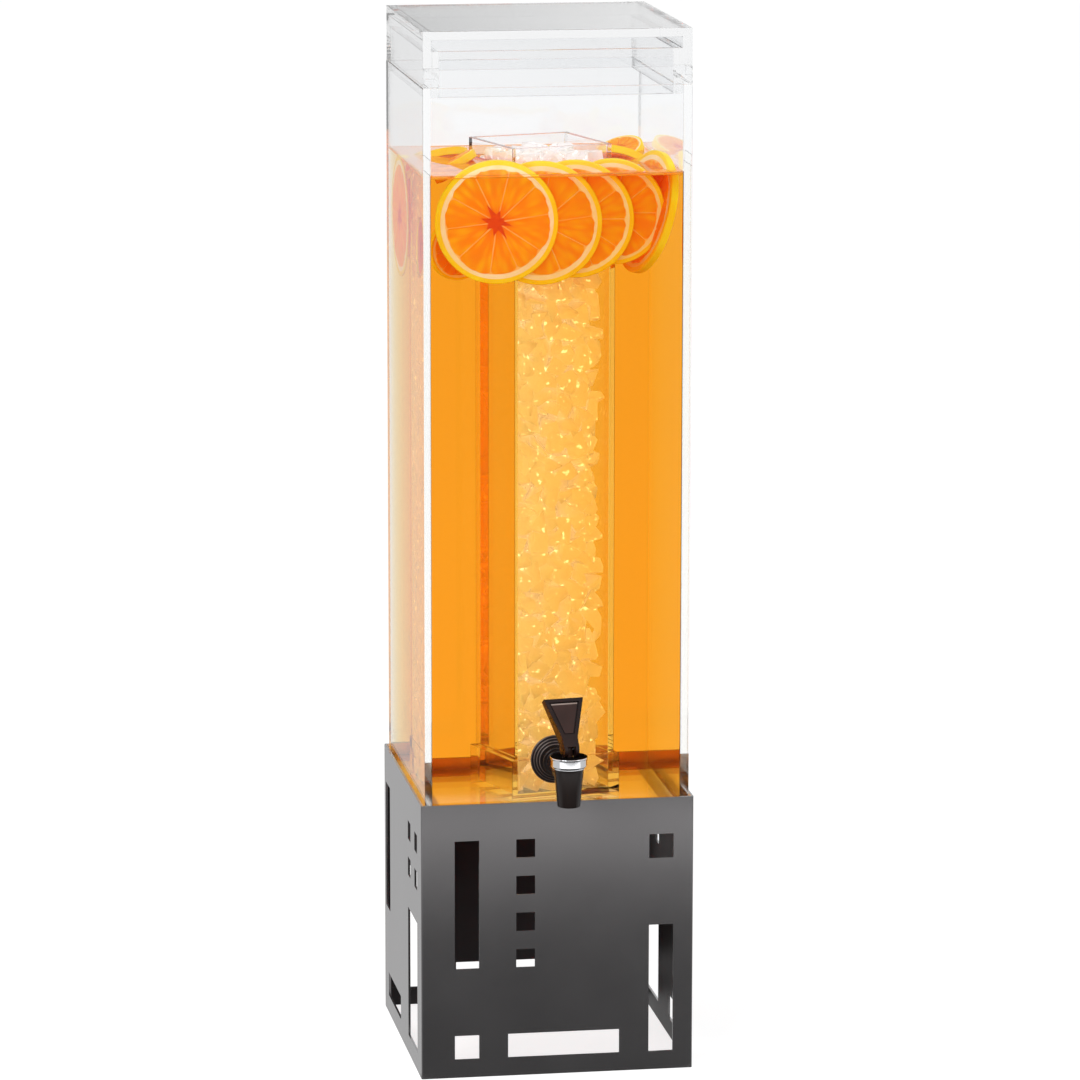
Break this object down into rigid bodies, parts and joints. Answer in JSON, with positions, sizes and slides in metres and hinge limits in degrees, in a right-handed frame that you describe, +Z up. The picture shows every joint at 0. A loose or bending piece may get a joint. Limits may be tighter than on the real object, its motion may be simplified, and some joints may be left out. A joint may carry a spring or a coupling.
{
  "type": "beverage dispenser",
  "caption": "Square clear acrylic drink dispenser on a cut-out sheet-metal base, with lift-off lid, lift-out ice tube and a lever faucet.",
  "frame": {"origin": "on the counter, at the middle of the footprint box that base and faucet cover together", "axes": "+Z up, -Y towards the faucet and the person pouring, +X to that person's right"},
  "size_m": [0.184, 0.2504, 0.7015],
  "materials": {
    "powder_coat": "dark grey satin powder coat on sheet steel",
    "reservoir_acrylic": "polished clear acrylic sheet",
    "lid_acrylic": "polished clear acrylic sheet",
    "tube_acrylic": "polished clear acrylic sheet",
    "faucet_plastic": "black moulded plastic",
    "bonnet_chrome": "polished chrome plate",
    "washer_rubber": "black rubber",
    "nut_plastic": "black nylon",
    "cup_silicone": "pale silicone",
    "stem_plastic": "black moulded plastic",
    "spring_steel": "stainless spring wire",
    "handle_plastic": "black moulded plastic",
    "pin_steel": "stainless pin"
  },
  "bodies": {
    "base": {"base_front_panel": "powder_coat", "base_back_panel": "powder_coat", "base_left_panel": "powder_coat", "base_right_panel": "powder_coat", "support_ledge_front": "powder_coat", "support_ledge_back": "powder_coat", "support_ledge_left": "powder_coat", "support_ledge_right": "powder_coat"},
    "reservoir": {"reservoir_front_wall": "reservoir_acrylic", "reservoir_back_wall": "reservoir_acrylic", "reservoir_left_wall": "reservoir_acrylic", "reservoir_right_wall": "reservoir_acrylic", "reservoir_floor": "reservoir_acrylic", "faucet_body": "faucet_plastic", "faucet_bonnet": "bonnet_chrome", "outer_washer": "washer_rubber", "inner_washer": "washer_rubber", "shank_nut": "nut_plastic"},
    "lid": {"lid_top": "lid_acrylic", "lid_skirt_front": "lid_acrylic", "lid_skirt_back": "lid_acrylic", "lid_skirt_left": "lid_acrylic", "lid_skirt_right": "lid_acrylic", "lid_lip_front": "lid_acrylic", "lid_lip_back": "lid_acrylic", "lid_lip_left": "lid_acrylic", "lid_lip_right": "lid_acrylic"},
    "ice_tube": {"ice_tube_front_wall": "tube_acrylic", "ice_tube_back_wall": "tube_acrylic", "ice_tube_left_wall": "tube_acrylic", "ice_tube_right_wall": "tube_acrylic", "ice_tube_floor": "tube_acrylic", "ice_tube_foot_front": "tube_acrylic", "ice_tube_foot_back": "tube_acrylic", "ice_tube_foot_left": "tube_acrylic", "ice_tube_foot_right": "tube_acrylic"},
    "valve_cup": {"seat_cup": "cup_silicone"},
    "valve_stem": {"valve_stem": "stem_plastic", "valve_spring": "spring_steel"},
    "handle": {"faucet_handle": "handle_plastic", "handle_pin": "pin_steel"}
  },
  "joints": [
    {"name": "reservoir_lift", "type": "slide", "parent": "base", "child": "reservoir", "axis": [0, 0, 1], "range_m": [0, 0.06]},
    {"name": "lid_lift", "type": "slide", "parent": "reservoir", "child": "lid", "axis": [0, 0, 1], "range_m": [0, 0.09]},
    {"name": "ice_tube_lift", "type": "slide", "parent": "reservoir", "child": "ice_tube", "axis": [0, 0, 1], "range_m": [0, 0.075]},
    {"name": "valve_lift", "type": "slide", "parent": "reservoir", "child": "valve_cup", "axis": [0, 0, 1], "range_m": [0, 0.00209], "stiffness_N_per_m": 1500, "springref_m": -0.0035, "deforming": ["valve_spring"]},
    {"name": "handle_swivel", "type": "hinge", "parent": "valve_cup", "child": "valve_stem", "pos_m": [-0.0017, -0.11275, 0.2363], "axis": [0, 0, 1], "continuous": true},
    {"name": "handle_tilt", "type": "hinge", "parent": "valve_stem", "child": "handle", "pos_m": [-0.0017, -0.11275, 0.2363], "axis": [0.9903, 0.1392, 0], "range_deg": [0, 40]}
  ],
  "couplings": [
    {"joint": "handle_tilt", "follows": "valve_lift", "rad_per_m": 333.33}
  ]
}
